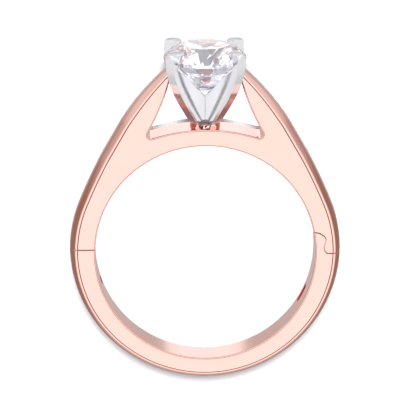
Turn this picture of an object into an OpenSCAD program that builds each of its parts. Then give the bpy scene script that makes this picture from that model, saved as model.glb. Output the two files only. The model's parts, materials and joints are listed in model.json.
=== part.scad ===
// Cathedral solitaire ring with a hinged lower shank, lying on its side.
// Ring axes: x to the right, y towards the head, z along the finger towards the front face.
// Millimetres. The last step lays the ring on the surface z = 0 as it comes to rest.

/* [Shank] */
// Inner diameter of the finger hole
finger_d = 16.9; // [15.7:0.1:18.9]
// Width of the shank along the finger
shank_w = 2.9; // [2.5:0.1:3.3]
// Thickness of the flat front face at the sides
side_t = 1.47; // [1.35:0.01:1.8]
// Thickness of the flat front face at the bottom
base_t = 1.27; // [1.1:0.01:1.45]
// Rise of the rounded outer face above the front face's edge
dome_h = 0.5; // [0.4:0.02:0.6]

/* [Shoulders] */
// Angle above the side where the shoulder leaves the round shank
shoulder_start_a = 22; // [20:1:25]
// Angle at which the shoulder bends over towards the stone
shoulder_bend_a = 31; // [29:1:33]
// Outer radius of the long lower stretch of the shoulder
shoulder_long_r = 42; // [36:1:50]
// Outer radius of the bend at the top of the shoulder
shoulder_bend_r = 19.5; // [17:0.5:22]
// Width of the shoulder at its tip
tip_w = 2.2; // [1.8:0.1:2.4]
// Distance from the head's axis to the shoulder's inner edge near its tip
tip_x = 2.75; // [2.6:0.05:3.2]
// Distance from the head's axis to the foot of the shoulder's inner edge
foot_x = 4.8; // [4.5:0.05:5.1]
// Radius of the slightly rounded inner edge
inner_edge_r = 17.8; // [14:0.2:24]
// Fillet between the inner edge and the bridge
foot_fillet_r = 0.3; // [0.2:0.05:0.5]

/* [Bridge] */
// Thickness of the bridge under the head
bridge_t = 1.3; // [1.15:0.05:1.6]
// Radius of the bridge's top face
bridge_top_r = 12.5; // [11.5:0.5:14]
// Diameter of the low round seat under the head
seat_d = 2.3; // [2:0.1:2.6]
// Height of the seat above the bridge
seat_h = 0.33; // [0.2:0.01:0.5]

/* [Hinge] */
// Height of the hinge seam above the ring's centre line
hinge_seam_y = 0.27; // [0.1:0.01:0.4]
// Depth of the hinge pin below the outermost line of the shank
hinge_inset = 0.6; // [0.55:0.01:0.65]
// Radius of the lower half's rounded hinge end
barrel_r = 0.69; // [0.66:0.01:0.74]
// Diameter of the hinge pin
pin_d = 0.4; // [0.3:0.02:0.4]
// Length of the hinge pin
pin_l = 2.14; // [1.8:0.02:2.2]
// Outer radius of the upper half's hinge eye
eye_r = 0.4; // [0.34:0.01:0.42]
// Thickness of the upper half's hinge eye
eye_t = 0.9; // [0.7:0.05:1.1]
// Width of the neck that carries the hinge eye
neck_w = 0.4; // [0.3:0.02:0.44]
// How far the lower half opens
open_a = 50; // [30:5:55]
// Radial clearance of the hinge pin
pin_gap = 0.02; // [0.01:0.01:0.04]

/* [Catch] */
// Radius of the lower half's catch lobe
hook_r = 0.62; // [0.56:0.01:0.66]
// Height of the catch lobe's centre
hook_y = 0.92; // [0.85:0.01:1.0]
// Distance from the inner face to the catch lobe's tip
hook_reach = 0.71; // [0.66:0.01:0.76]
// Radius of the upper half's catch lobe
keeper_r = 0.46; // [0.4:0.01:0.5]
// Height of the upper lobe's centre
keeper_y = 0.38; // [0.34:0.01:0.42]
// Sideways clearance with which the catch lobes pass each other
catch_play = 0.08; // [0.07:0.01:0.12]
// Gap at the seams
seam_gap = 0.05; // [0.04:0.01:0.07]

/* [Inner slots] */
// Length of the slot near the catch
catch_slot_l = 1.45; // [1:0.05:2]
// Length of the slot near the hinge
hinge_slot_l = 0.6; // [0.4:0.05:1]
// Width of both slots along the finger
slot_w = 0.8; // [0.5:0.05:1]
// Depth of both slots
slot_depth = 0.5; // [0.3:0.05:0.7]
// Distance from the middle of the width to the middle of the slots
slot_offset = 0.6; // [0.4:0.05:0.75]

/* [Stone] */
// Diameter of the round brilliant
stone_d = 6.5; // [6:0.1:6.8]
// Height of the girdle's middle above the bridge
girdle_rise = 5.33; // [5.2:0.05:6]
// Thickness of the girdle
girdle_t = 0.2; // [0.12:0.02:0.3]
// Table width as a share of the stone's diameter
table_share = 0.57; // [0.53:0.01:0.62]
// How far the star facets reach from the table's edge towards the girdle
star_share = 0.52; // [0.45:0.01:0.6]
// How far the lower halves reach from the girdle towards the point
keel_share = 0.77; // [0.7:0.01:0.82]
// Angle of the crown's main facets
crown_a = 34.5; // [32:0.5:36]
// Angle of the pavilion's main facets
pavilion_a = 40.8; // [40:0.2:42]

/* [Head] */
// Width of a prong
prong_w = 0.83; // [0.7:0.01:0.95]
// Radial thickness of a prong
prong_t = 0.42; // [0.36:0.02:0.6]
// Distance from the girdle to a prong's outer face
prong_proud = 0.65; // [0.55:0.05:0.8]
// Distance from the head's axis to a prong's outer face at its foot
prong_foot_r = 1.2; // [1.1:0.02:1.3]
// Angle between a prong's leg and the head's axis
prong_lean_a = 33.7; // [33:0.1:34.5]
// Radius of the bend where a prong turns upright
prong_bend_r = 1.9; // [1.6:0.1:2.2]
// Rise of a claw's top above the girdle's middle
claw_rise = 1.07; // [1:0.01:1.2]
// Rounding of a claw's outer shoulder
claw_r = 0.66; // [0.55:0.01:0.7]
// How far a claw reaches in over the stone's edge
claw_reach = 0.75; // [0.5:0.05:0.9]
// Thickness of the crossed webs
web_t = 0.45; // [0.35:0.05:0.6]
// Room between the webs and the stone's point
culet_gap = 0.3; // [0.2:0.05:0.5]
// Diameter of the peg in the bridge
peg_d = 1.3; // [1.1:0.1:1.5]
// Length of the peg below the bridge's top
peg_l = 0.7; // [0.5:0.05:0.8]
// Clearance between the head, the stone and the bridge
seat_gap = 0.02; // [0.01:0.01:0.04]
// Clearance between the shoulder tips and the stone
tip_gap = 0.2; // [0.15:0.05:0.4]

/* [Hidden] */

rose = [0.93, 0.68, 0.58];
white = [0.86, 0.86, 0.87];
clear_white = [0.93, 0.95, 0.99];

round_fn = 96;
wide_fn = 256;
far = 60;

finger_r = finger_d / 2;
half_w = shank_w / 2;
crest_r = finger_r + side_t + dome_h;
dome_r = (half_w * half_w + dome_h * dome_h) / (2 * dome_h);
blank_in_r = finger_r - 2 * (side_t - base_t) - 1;

// The lower half's outer face is round about a point a little above the ring's centre
side_r = finger_r + side_t;
base_r = finger_r + base_t;
lower_edge_r = (side_r * side_r / base_r + base_r) / 2;
lower_centre_y = lower_edge_r - base_r;
lower_crest_r = lower_edge_r + dome_h;

// Centres of the shoulder's two outer arcs; the upper one crosses the lower one at a very flat angle
cross_a = 1.5;
bend_cut_a = shoulder_bend_a - cross_a;
long_c = (crest_r - shoulder_long_r) * unit(shoulder_start_a);
bend_start = long_c + shoulder_long_r * unit(shoulder_bend_a);
bend_c = bend_start - shoulder_bend_r * unit(shoulder_bend_a + cross_a);

bridge_top_y = finger_r + bridge_t;
bridge_c = [0, bridge_top_y - bridge_top_r];
seat_top_y = bridge_top_y + seat_h;
foot_y = seat_top_y + seat_gap;
girdle_y = bridge_top_y + girdle_rise;
stone_r = stone_d / 2;
table_r = stone_r * table_share;
stone_turn_a = 11.25;
star_r = table_r * cos(22.5) + star_share * (stone_r - table_r * cos(22.5));
keel_r = stone_r * (1 - keel_share);
crown_h = (stone_r - table_r) * tan(crown_a);
pavilion_h = stone_r * tan(pavilion_a);
culet_y = girdle_y - girdle_t / 2 - pavilion_h;
table_y = girdle_y + girdle_t / 2 + crown_h;

// Two points of the shoulder's inner edge, and the arc through them
edge_top = [tip_x, girdle_y - 0.53 * stone_r];
edge_foot = [foot_x, top_of_bridge(foot_x)];
edge_c = arc_centre(edge_top, edge_foot, inner_edge_r);
fillet_overlap = 0.004;
fillet_c = circle_cross(edge_c, inner_edge_r + foot_fillet_r, bridge_c, bridge_top_r + foot_fillet_r);

// The front face curves back above the bridge to reach the width at the tip
taper_y = bridge_top_y;
taper_rise = girdle_y - 0.25 * stone_r - taper_y;
taper_drop = (shank_w - tip_w) / 2;
taper_r = (taper_rise * taper_rise + taper_drop * taper_drop) / (2 * taper_drop);

hinge = [hinge_inset - crest_r, hinge_seam_y - barrel_r];
neck_a = 70;
pin_hole_d = pin_d + 2 * pin_gap;

hook = [finger_r + hook_reach - hook_r, hook_y];
keeper = [finger_r + hook_reach + catch_play + keeper_r, keeper_y];
catch_seam_y = keeper_y - keeper_r;
catch_slot_a = -27;
hinge_slot_a = 198.3;

// Prong lines, as distance from the head's axis and height along it
prong_r = stone_r + prong_proud;
claw_top_y = girdle_y + claw_rise;
bend_run = prong_bend_r * (1 - cos(prong_lean_a));
leg_top_r = prong_r - bend_run;
leg_top_y = foot_y + (leg_top_r - prong_foot_r) / tan(prong_lean_a);
bend_top_y = leg_top_y + prong_bend_r * sin(prong_lean_a);

// Each entry is the height and the half depth of a point that could touch the surface behind the head
rest_points = [
    [girdle_y - girdle_t / 2, stone_r * cos(stone_turn_a)],
    [bend_top_y, (prong_r + prong_w / 2) * sin(45)]
];
rest_a = max([for (p = rest_points) atan((p[1] - half_w) / (p[0] + base_r))]);
centre_z = half_w * cos(rest_a) + base_r * sin(rest_a);
low_y = -(base_r + dome_h - dome_r) * cos(rest_a) - dome_r;
high_y = claw_top_y * cos(rest_a) + (prong_r - claw_r + prong_w / 2) * sin(45) * sin(rest_a);
centre_y = -(low_y + high_y) / 2;

function unit(a) = [cos(a), sin(a)];
function top_of_bridge(x) = bridge_c[1] + sqrt(bridge_top_r * bridge_top_r - x * x);

// Centre of the arc of radius r through a and b, on the right of the way from b to a
function arc_centre(a, b, r) =
    let (mid = (a + b) / 2, d = a - b, l = norm(d), h = sqrt(r * r - l * l / 4))
    mid + h * [d[1], -d[0]] / l;

// The upper crossing of two circles that lies nearer the head's axis
function circle_cross(c1, r1, c2, r2) =
    let (d = c2 - c1, l = norm(d), a = (r1 * r1 - r2 * r2 + l * l) / (2 * l), h = sqrt(r1 * r1 - a * a))
    c1 + a * d / l + h * [-d[1], d[0]] / l * -1;

function arc_points(c, r, a0, a1, steps) =
    [for (i = [0 : steps]) c + r * unit(a0 + (a1 - a0) * i / steps)];

// Lays the ring on its side as it rests, with the middle of its outline over the origin
module at_rest() {
    translate([0, centre_y, centre_z]) rotate([rest_a, 0, 0]) children();
}

// Extrudes a front view outline to both sides of the middle plane
module through(depth) {
    translate([0, 0, -depth / 2]) linear_extrude(height = depth) children();
}

// Half section of the shank from radius r_in to its rounded rim at radius r
module shank_section(r_in, r) {
    translate([r_in, -half_w]) square([r - dome_r - r_in, shank_w]);
    intersection() {
        translate([r - dome_r, 0]) circle(r = dome_r, $fn = wide_fn);
        translate([r - dome_r, -half_w]) square([dome_r, shank_w]);
    }
}

module domed_ring(c, r_in, r) {
    translate([c[0], c[1], 0]) rotate_extrude($fn = wide_fn) shank_section(r_in, r);
}

// The half plane on the left of the line through c at angle a
module left_of(c, a) {
    translate(c) rotate(a) translate([-far, 0]) square([2 * far, far]);
}

module right_of(c, a) {
    translate(c) rotate(a) translate([-far, -far]) square([2 * far, far]);
}

// Wider disc whose rim has the same rounding, to trim the shoulder's upper stretch
module rounded_disc(c, r) {
    translate([c[0], c[1], 0]) rotate_extrude($fn = wide_fn) union() {
        translate([0, -shank_w * 0.6]) square([r - dome_r, shank_w * 1.2]);
        intersection() {
            translate([r - dome_r, 0]) circle(r = dome_r, $fn = wide_fn);
            translate([r - dome_r, -shank_w * 0.6]) square([dome_r, shank_w * 1.2]);
        }
    }
}

// One shoulder from where it leaves the round shank to the ring's middle
module shoulder_blank() {
    intersection() {
        domed_ring(long_c, 0, shoulder_long_r);
        through(far) intersection() {
            left_of([0, 0], shoulder_start_a);
            square([2 * crest_r, 2 * crest_r]);
        }
        union() {
            through(far) right_of(long_c, bend_cut_a);
            rounded_disc(bend_c, shoulder_bend_r);
        }
    }
}

// Front view of the opening between the shoulders and above the bridge
module window_outline() {
    difference() {
        translate([-foot_x - foot_fillet_r, 0]) square([2 * (foot_x + foot_fillet_r), far]);
        translate(bridge_c) circle(r = bridge_top_r, $fn = wide_fn);
        for (side = [0, 1]) mirror([side, 0]) {
            translate(edge_c) circle(r = inner_edge_r, $fn = wide_fn);
            foot_fillet();
        }
    }
}

module foot_fillet() {
    in_edge = edge_c + (inner_edge_r - foot_fillet_r) * (fillet_c - edge_c) / norm(fillet_c - edge_c);
    in_bridge = bridge_c + (bridge_top_r - foot_fillet_r) * (fillet_c - bridge_c) / norm(fillet_c - bridge_c);
    difference() {
        polygon([fillet_c, in_edge, edge_foot + [foot_fillet_r, -foot_fillet_r / 2], in_bridge]);
        translate(fillet_c) circle(r = foot_fillet_r + fillet_overlap, $fn = round_fn);
    }
}

// Side view limits of the upper half, whose faces curve back towards the tips
module taper_envelope() {
    rotate([0, -90, 0]) rotate([0, 0, 90]) through(2 * far) union() {
        translate([-far, -half_w]) square([far + taper_y, shank_w]);
        intersection() {
            translate([taper_y, half_w - taper_r]) circle(r = taper_r, $fn = wide_fn);
            translate([taper_y, taper_r - half_w]) circle(r = taper_r, $fn = wide_fn);
            translate([taper_y - half_w, -half_w]) square([far, shank_w]);
        }
    }
}

// Front view of what the lower half fills at the hinge, with its round end
module lower_hinge_outline() {
    translate([-2 * crest_r, -far]) square([2 * crest_r, far + hinge[1]]);
    translate([hinge[0], -far]) square([-hinge[0], far + hinge_seam_y]);
    translate(hinge) circle(r = barrel_r, $fn = round_fn);
}

module upper_hinge_outline() {
    difference() {
        union() {
            translate([-2 * crest_r, hinge_seam_y + seam_gap]) square([2 * crest_r, far]);
            translate([-2 * crest_r, hinge[1]]) square([2 * crest_r + hinge[0], far]);
        }
        translate(hinge) circle(r = barrel_r + seam_gap, $fn = round_fn);
    }
}

// Front view of what the lower half fills at the catch, with its lobe
module lower_catch_outline() {
    difference() {
        union() {
            translate([0, -far]) square([2 * crest_r, far + catch_seam_y - seam_gap]);
            translate([0, -far]) square([hook[0] + hook_r, far + hook_y]);
            translate(hook) circle(r = hook_r, $fn = round_fn);
            translate([0, -far]) square([hook[0], far + hook_y + hook_r]);
        }
        translate(keeper) circle(r = keeper_r + seam_gap, $fn = round_fn);
    }
}

module upper_catch_outline() {
    difference() {
        union() {
            translate([keeper[0], catch_seam_y]) square([2 * crest_r, far]);
            translate([keeper[0] - keeper_r, keeper_y]) square([2 * crest_r, far]);
            translate([0, hook_y]) square([2 * crest_r, far]);
            translate(keeper) circle(r = keeper_r, $fn = round_fn);
        }
        translate([0, -far]) square([hook[0] + hook_r + seam_gap, far + hook_y]);
        translate(hook) circle(r = hook_r + seam_gap, $fn = round_fn);
        translate([0, -far]) square([hook[0], far + hook_y + hook_r + seam_gap]);
    }
}

// The eye's neck, turned by a about the hinge
module neck_outline(a, w) {
    translate(hinge) rotate(neck_a + a) translate([0, -w / 2]) square([2 * barrel_r, w]);
}

module hinge_eye() {
    difference() {
        intersection() {
            through(eye_t) union() {
                translate(hinge) circle(r = eye_r, $fn = round_fn);
                neck_outline(0, neck_w);
            }
            domed_ring([0, 0], blank_in_r, crest_r - seam_gap);
        }
        pin_hole(far);
    }
}

// Room in the lower half for the eye and its neck over the whole travel
module eye_slot_outline() {
    w = neck_w + 2 * seam_gap;
    translate(hinge) circle(r = eye_r + seam_gap, $fn = round_fn);
    neck_outline(0, w);
    neck_outline(open_a, w);
    translate(hinge) polygon([
        [0, 0],
        2 * barrel_r * unit(neck_a),
        2 * barrel_r * unit(neck_a + open_a / 2) * 1.1,
        2 * barrel_r * unit(neck_a + open_a)
    ]);
}

module pin_hole(l) {
    translate([hinge[0], hinge[1], -l / 2]) cylinder(d = pin_hole_d, h = l, $fn = round_fn);
}

// Short slot in the finger face, at angle a about the ring's axis
module inner_slot(a, l) {
    rotate(a) translate([finger_r - slot_depth, -l / 2, -slot_offset - slot_w / 2])
        cube([2 * slot_depth, l, slot_w]);
}

module finger_hole() {
    translate([0, 0, -far / 2]) cylinder(r = finger_r, h = far, $fn = wide_fn);
}

module peg_hole() {
    rotate([-90, 0, 0]) translate([0, 0, bridge_top_y - peg_l - seat_gap])
        cylinder(d = peg_d + 2 * seat_gap, h = far, $fn = round_fn);
}

module shank_upper() {
    color(rose) at_rest() {
        difference() {
            union() {
                difference() {
                    intersection() {
                        union() {
                            domed_ring([0, 0], blank_in_r, crest_r);
                            shoulder_blank();
                            mirror([1, 0, 0]) shoulder_blank();
                        }
                        taper_envelope();
                        through(far) union() {
                            upper_hinge_outline();
                            upper_catch_outline();
                        }
                    }
                    finger_hole();
                    through(far) window_outline();
                    head_axis() stone_envelope(tip_gap);
                }
                head_seat();
            }
            peg_hole();
        }
        hinge_eye();
    }
}

// Low round seat on the bridge that carries the head
module head_seat() {
    head_axis() translate([0, 0, bridge_top_y - bridge_t / 2])
        cylinder(d = seat_d, h = bridge_t / 2 + seat_h, $fn = round_fn);
}

module shank_lower() {
    color(rose) at_rest() difference() {
        intersection() {
            domed_ring([0, lower_centre_y], blank_in_r, lower_crest_r);
            through(far) union() {
                lower_hinge_outline();
                lower_catch_outline();
            }
        }
        finger_hole();
        through(eye_t + 2 * seam_gap) eye_slot_outline();
        pin_hole(pin_l + 2 * seam_gap);
        inner_slot(catch_slot_a, catch_slot_l);
        inner_slot(hinge_slot_a, hinge_slot_l);
    }
}

module hinge_pin() {
    color(white) at_rest()
        translate([hinge[0], hinge[1], -pin_l / 2]) cylinder(d = pin_d, h = pin_l, $fn = round_fn);
}

// Turns an upright shape, whose z is the height from the ring's centre, onto the head's axis
module head_axis() {
    rotate([-90, 0, 0]) children();
}

// Round shape of the stone, grown by gap, for seats and clearances
module stone_envelope(gap) {
    rotate_extrude($fn = round_fn) polygon([
        [0, culet_y - gap / cos(pavilion_a)],
        [stone_r + gap, girdle_y - girdle_t / 2 - gap],
        [stone_r + gap, girdle_y + girdle_t / 2 + gap],
        [table_r + gap, table_y + gap],
        [0, table_y + gap]
    ]);
}

// Side view of a prong with its claw, as distance from the axis and height
module prong_outline() {
    claw_c = [prong_r - claw_r, claw_top_y - claw_r];
    bend_centre = [prong_r - prong_bend_r, bend_top_y];
    claw_tip_r = stone_r - claw_reach;
    polygon(concat(
        [[prong_foot_r, foot_y]],
        arc_points(bend_centre, prong_bend_r, -prong_lean_a, 0, 6),
        arc_points(claw_c, claw_r, 0, 90, 8),
        [[claw_tip_r, claw_top_y - claw_r / 2]],
        [[claw_tip_r, girdle_y]],
        [[prong_r - prong_t, girdle_y]],
        arc_points(bend_centre, prong_bend_r - prong_t, 0, -prong_lean_a, 6),
        [[prong_foot_r - prong_t, foot_y]]
    ));
}

// Side view of one web, from the axis out into the prong, with its slanted edge along the stone
module web_outline() {
    polygon([
        [0, foot_y],
        [prong_foot_r - prong_t / 2, foot_y],
        [leg_top_r - prong_t / 2, leg_top_y],
        [prong_r - prong_t / 2, bend_top_y],
        [prong_r - prong_t / 2, girdle_y],
        [stone_r + girdle_t / 2, girdle_y],
        [0, culet_y - culet_gap]
    ]);
}

module upright_plate(t) {
    rotate([90, 0, 0]) through(t) children();
}

module head() {
    color(white) at_rest() head_axis() difference() {
        union() {
            for (a = [45 : 90 : 315]) rotate(a) {
                upright_plate(prong_w) prong_outline();
                upright_plate(web_t) web_outline();
            }
            translate([0, 0, bridge_top_y - peg_l])
                cylinder(d = peg_d, h = peg_l + seat_h + peg_d / 8, $fn = round_fn);
        }
        stone_envelope(seat_gap);
    }
}

function ring_points(r, h, n, a0) =
    [for (i = [0 : n - 1]) [r * cos(a0 + i * 360 / n), r * sin(a0 + i * 360 / n), h]];

// Round brilliant with a table, eight bezel facets and mains, sixteen halves above and below, and a flat girdle
module brilliant() {
    top_y = girdle_y + girdle_t / 2;
    under_y = girdle_y - girdle_t / 2;
    star_y = top_y + (stone_r - star_r * cos(22.5)) * tan(crown_a);
    keel_y = under_y - (stone_r - keel_r * cos(22.5)) * tan(pavilion_a);
    points = concat(
        ring_points(table_r, table_y, 8, 0),
        ring_points(star_r, star_y, 8, 22.5),
        ring_points(stone_r, top_y, 16, 0),
        ring_points(stone_r, under_y, 16, 0),
        ring_points(keel_r, keel_y, 8, 22.5),
        [[0, 0, culet_y]]
    );
    table_facet = [[for (i = [7 : -1 : 0]) i]];
    star_facets = [for (i = [0 : 7]) [i, (i + 1) % 8, 8 + i]];
    bezel_facets = [for (i = [0 : 7]) [i, 8 + i, 16 + 2 * i, 8 + (i + 7) % 8]];
    upper_halves = [for (i = [0 : 7], k = [0, 1]) [8 + i, 16 + (2 * i + k + 1) % 16, 16 + 2 * i + k]];
    girdle_faces = [for (k = [0 : 15]) [16 + k, 16 + (k + 1) % 16, 32 + (k + 1) % 16, 32 + k]];
    lower_halves = [for (i = [0 : 7], k = [0, 1]) [48 + i, 32 + 2 * i + k, 32 + (2 * i + k + 1) % 16]];
    pavilion_mains = [for (i = [0 : 7]) [56, 48 + (i + 7) % 8, 32 + 2 * i, 48 + i]];
    faces = concat(
        table_facet,
        star_facets,
        bezel_facets,
        upper_halves,
        girdle_faces,
        lower_halves,
        pavilion_mains
    );
    polyhedron(points = points, faces = faces);
}

module stone() {
    color(clear_white) at_rest() head_axis() rotate(stone_turn_a) brilliant();
}

shank_upper();
shank_lower();
hinge_pin();
head();
stone();
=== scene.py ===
"""Dresses the cathedral setting ring: rose gold shank halves, a white gold head and a round brilliant.

Every piece is modelled in ring millimetres: x right, y towards the head and z along the finger axis, front
face up. It is then laid into the row frame, where the ring rests on its side.
"""

import json
import logging
import math
from dataclasses import dataclass, field
from enum import Enum
from typing import Callable, Iterable, Sequence

import bmesh
import bpy
from mathutils import Matrix, Vector, noise


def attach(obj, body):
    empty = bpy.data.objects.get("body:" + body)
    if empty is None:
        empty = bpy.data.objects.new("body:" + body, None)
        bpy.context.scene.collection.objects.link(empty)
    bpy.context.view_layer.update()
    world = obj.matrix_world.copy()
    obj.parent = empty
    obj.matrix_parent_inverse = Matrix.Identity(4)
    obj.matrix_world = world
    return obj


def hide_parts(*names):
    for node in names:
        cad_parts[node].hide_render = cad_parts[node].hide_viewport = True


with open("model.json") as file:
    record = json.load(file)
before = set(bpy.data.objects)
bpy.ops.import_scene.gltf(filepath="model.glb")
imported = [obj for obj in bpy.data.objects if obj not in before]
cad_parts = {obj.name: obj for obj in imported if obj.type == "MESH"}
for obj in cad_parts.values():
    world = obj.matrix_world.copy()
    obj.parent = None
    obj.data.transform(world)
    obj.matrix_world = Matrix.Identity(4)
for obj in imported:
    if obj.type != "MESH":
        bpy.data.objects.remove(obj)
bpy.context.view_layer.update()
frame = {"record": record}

LOG = logging.getLogger("ring")
MM = 0.001
IMAGE_PX = 416
SENSOR_MM = 36
# Millimetres within which two depths or heights count as the same, and a point counts as on a round line.
SAME = 1e-4
NEAR = 0.02
# A face whose normal has less z than this runs through the width.
STEEP = 0.5
# Sides of a wide and of a thin cylinder, and steps round the hinge eye.
WIDE_SIDES = 64
THIN_SIDES = 32
EYE_STEPS = 40
# A noise texture's values mostly lie between these two.
NOISE_RANGE = (0.3, 0.7)
# A brilliant's facets stand at eighths of a turn and at halves and quarters of those, in degrees.
EIGHTH_A = 45.0
HALF_EIGHTH_A = 22.5
QUARTER_EIGHTH_A = 11.25
Point = tuple[float, float]
Stop = tuple[float, tuple[float, float, float], float]


class Slot(Enum):
    """The record's material slots."""

    ROSE = "rose_gold"
    WHITE = "white_gold"
    STONE = "stone"


class Body(Enum):
    """The ring's rigid bodies."""

    UPPER = "upper"
    LOWER = "lower"


class Action(Enum):
    """What a tool mesh does to a piece."""

    CUT = "DIFFERENCE"
    JOIN = "UNION"


class Edges(Enum):
    """Which edges of a piece a bevel rounds."""

    SHARP = "ANGLE"
    WEIGHED = "WEIGHT"


class Line(Enum):
    """The line of a shank half's outline that a point is on."""

    STRAIGHT = "goes straight through the width"
    RIGHT = "right shoulder's outer line"
    LEFT = "left shoulder's outer line"
    SEAM_END = "outer end of the catch seam"
    HINGE_SEAT = "outer end of the hinge seat"
    LOWER = "lower half's outer line"


def srgb(code: str) -> tuple[float, float, float, float]:
    """Turns an sRGB hex colour into linear RGBA.

    Args:
        code: six hex digits, such as "F4C2B0".

    Returns:
        The linear colour with full alpha.
    """
    parts = [int(code[i : i + 2], 16) / 255 for i in (0, 2, 4)]
    linear = [c / 12.92 if c <= 0.04045 else ((c + 0.055) / 1.055) ** 2.4 for c in parts]
    return (*linear, 1.0)


def unit(angle: float) -> Vector:
    """The flat unit vector at an angle in degrees."""
    a = math.radians(angle)
    return Vector((math.cos(a), math.sin(a)))


def arc(centre: Vector, radius: float, start: float, end: float, steps: int) -> list[Vector]:
    """Points along an arc.

    Args:
        centre: the arc's centre.
        radius: its radius in mm.
        start: first angle in degrees.
        end: last angle in degrees.
        steps: number of chords.

    Returns:
        steps + 1 points, both ends included.
    """
    return [centre + radius * unit(start + (end - start) * i / steps) for i in range(steps + 1)]


def angle_of(vector: Vector) -> float:
    """The angle of a flat vector in degrees."""
    return math.degrees(math.atan2(vector.y, vector.x))


def circle_cross(c1: Vector, r1: float, c2: Vector, r2: float, side: float) -> Vector:
    """One of the crossings of two circles.

    Args:
        c1: first centre.
        r1: first radius.
        c2: second centre.
        r2: second radius.
        side: 1 for the crossing on the left of the way from c1 to c2, -1 for the right.

    Returns:
        The crossing point.
    """
    way = c2 - c1
    length = way.length
    along = (r1**2 - r2**2 + length**2) / (2 * length)
    across = math.sqrt(max(0.0, r1**2 - along**2))
    left = Vector((-way.y, way.x)) / length
    return c1 + way * (along / length) + left * (across * side)


def upper_cross(c1: Vector, r1: float, c2: Vector, r2: float) -> Vector:
    """The higher crossing of two circles, each given by its centre and radius."""
    return max((circle_cross(c1, r1, c2, r2, side) for side in (1, -1)), key=lambda point: point.y)


def mirrored(points: Iterable[Vector]) -> list[Vector]:
    """Flat points mirrored in x."""
    return [Vector((-p.x, p.y)) for p in points]


def polyline(points: Sequence[Point], step: float) -> list[Vector]:
    """A smooth line through measured points.

    Args:
        points: the points in order.
        step: spacing of the result in mm.

    Returns:
        Points along a Catmull-Rom curve, the last one left out.
    """
    line: list[Vector] = []
    padded = [points[0], *points, points[-1]]
    for i in range(1, len(padded) - 2):
        p0, p1, p2, p3 = (Vector(padded[i + k]) for k in (-1, 0, 1, 2))
        count = max(1, round((p2 - p1).length / step))
        for k in range(count):
            t = k / count
            line.append(
                0.5 * (2 * p1 + (p2 - p0) * t + (2 * p0 - 5 * p1 + 4 * p2 - p3) * t**2
                       + (3 * p1 - p0 - 3 * p2 + p3) * t**3)
            )
    return line


def deselect_all() -> None:
    """Leaves nothing selected, CAD nodes included."""
    bpy.ops.object.select_all(action="DESELECT")


def activate(obj: bpy.types.Object) -> None:
    """Makes one object the only selected and active one.

    Args:
        obj: the object.
    """
    deselect_all()
    obj.select_set(True)
    bpy.context.view_layer.objects.active = obj


def apply_modifiers(obj: bpy.types.Object) -> None:
    """Applies an object's modifiers from top to bottom.

    Args:
        obj: the object.
    """
    activate(obj)
    for modifier in list(obj.modifiers):
        bpy.ops.object.modifier_apply(modifier=modifier.name)


def work(obj: bpy.types.Object, tool: bpy.types.Object, action: Action = Action.CUT) -> None:
    """Cuts a closed tool mesh out of a piece or joins it on, and removes the tool.

    Args:
        obj: the piece.
        tool: the tool.
        action: what the tool does.
    """
    modifier = obj.modifiers.new("tool", "BOOLEAN")
    modifier.operation = action.value
    modifier.solver = "EXACT"
    modifier.object = tool
    apply_modifiers(obj)
    bpy.data.objects.remove(tool, do_unlink=True)


def round_edges(
    obj: bpy.types.Object, width: float, segments: int,
    edges: Edges = Edges.SHARP, sharp_a: float = 30.0, clamp: bool = True,
) -> None:
    """Rounds the edges of a piece with a bevel.

    Args:
        obj: the piece.
        width: how far an edge is rounded over, in mm.
        segments: number of faces across the rounding.
        edges: which edges are rounded.
        sharp_a: least angle of an edge that counts as sharp, in degrees.
        clamp: whether the width is held back where roundings would meet.
    """
    bevel = obj.modifiers.new("rounding", "BEVEL")
    bevel.limit_method = edges.value
    bevel.angle_limit = math.radians(sharp_a)
    bevel.width = width
    bevel.segments = segments
    bevel.use_clamp_overlap = clamp
    apply_modifiers(obj)


def split_edges(obj: bpy.types.Object, wanted: Callable[[bmesh.types.BMEdge], bool], cuts: int) -> None:
    """Subdivides the wanted edges of a piece, with the faces between them.

    Args:
        obj: the piece.
        wanted: says whether an edge is subdivided.
        cuts: number of new points on each edge.
    """
    activate(obj)
    bpy.ops.object.mode_set(mode="EDIT")
    mesh = bmesh.from_edit_mesh(obj.data)
    for edge in mesh.edges:
        edge.select = wanted(edge)
    mesh.select_mode = {"EDGE"}
    bmesh.update_edit_mesh(obj.data)
    bpy.context.tool_settings.mesh_select_mode = (False, True, False)
    bpy.ops.mesh.subdivide(number_cuts=cuts)
    bpy.ops.object.mode_set(mode="OBJECT")


def cylinder(name: str, radius: float, low: Vector, high: Vector, sides: int) -> bpy.types.Object:
    """Adds a closed cylinder between two points in ring millimetres.

    Args:
        name: the object's name.
        radius: in mm.
        low: centre of one end.
        high: centre of the other end.
        sides: number of side faces.

    Returns:
        The cylinder, with its place in its mesh.
    """
    deselect_all()
    axis = high - low
    bpy.ops.mesh.primitive_cylinder_add(
        vertices=sides, radius=radius, depth=axis.length, location=(low + high) / 2
    )
    obj = bpy.context.active_object
    obj.name = name
    obj.rotation_euler = axis.to_track_quat("Z", "Y").to_euler()
    bpy.ops.object.transform_apply(location=True, rotation=True, scale=True)
    return obj


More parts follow.
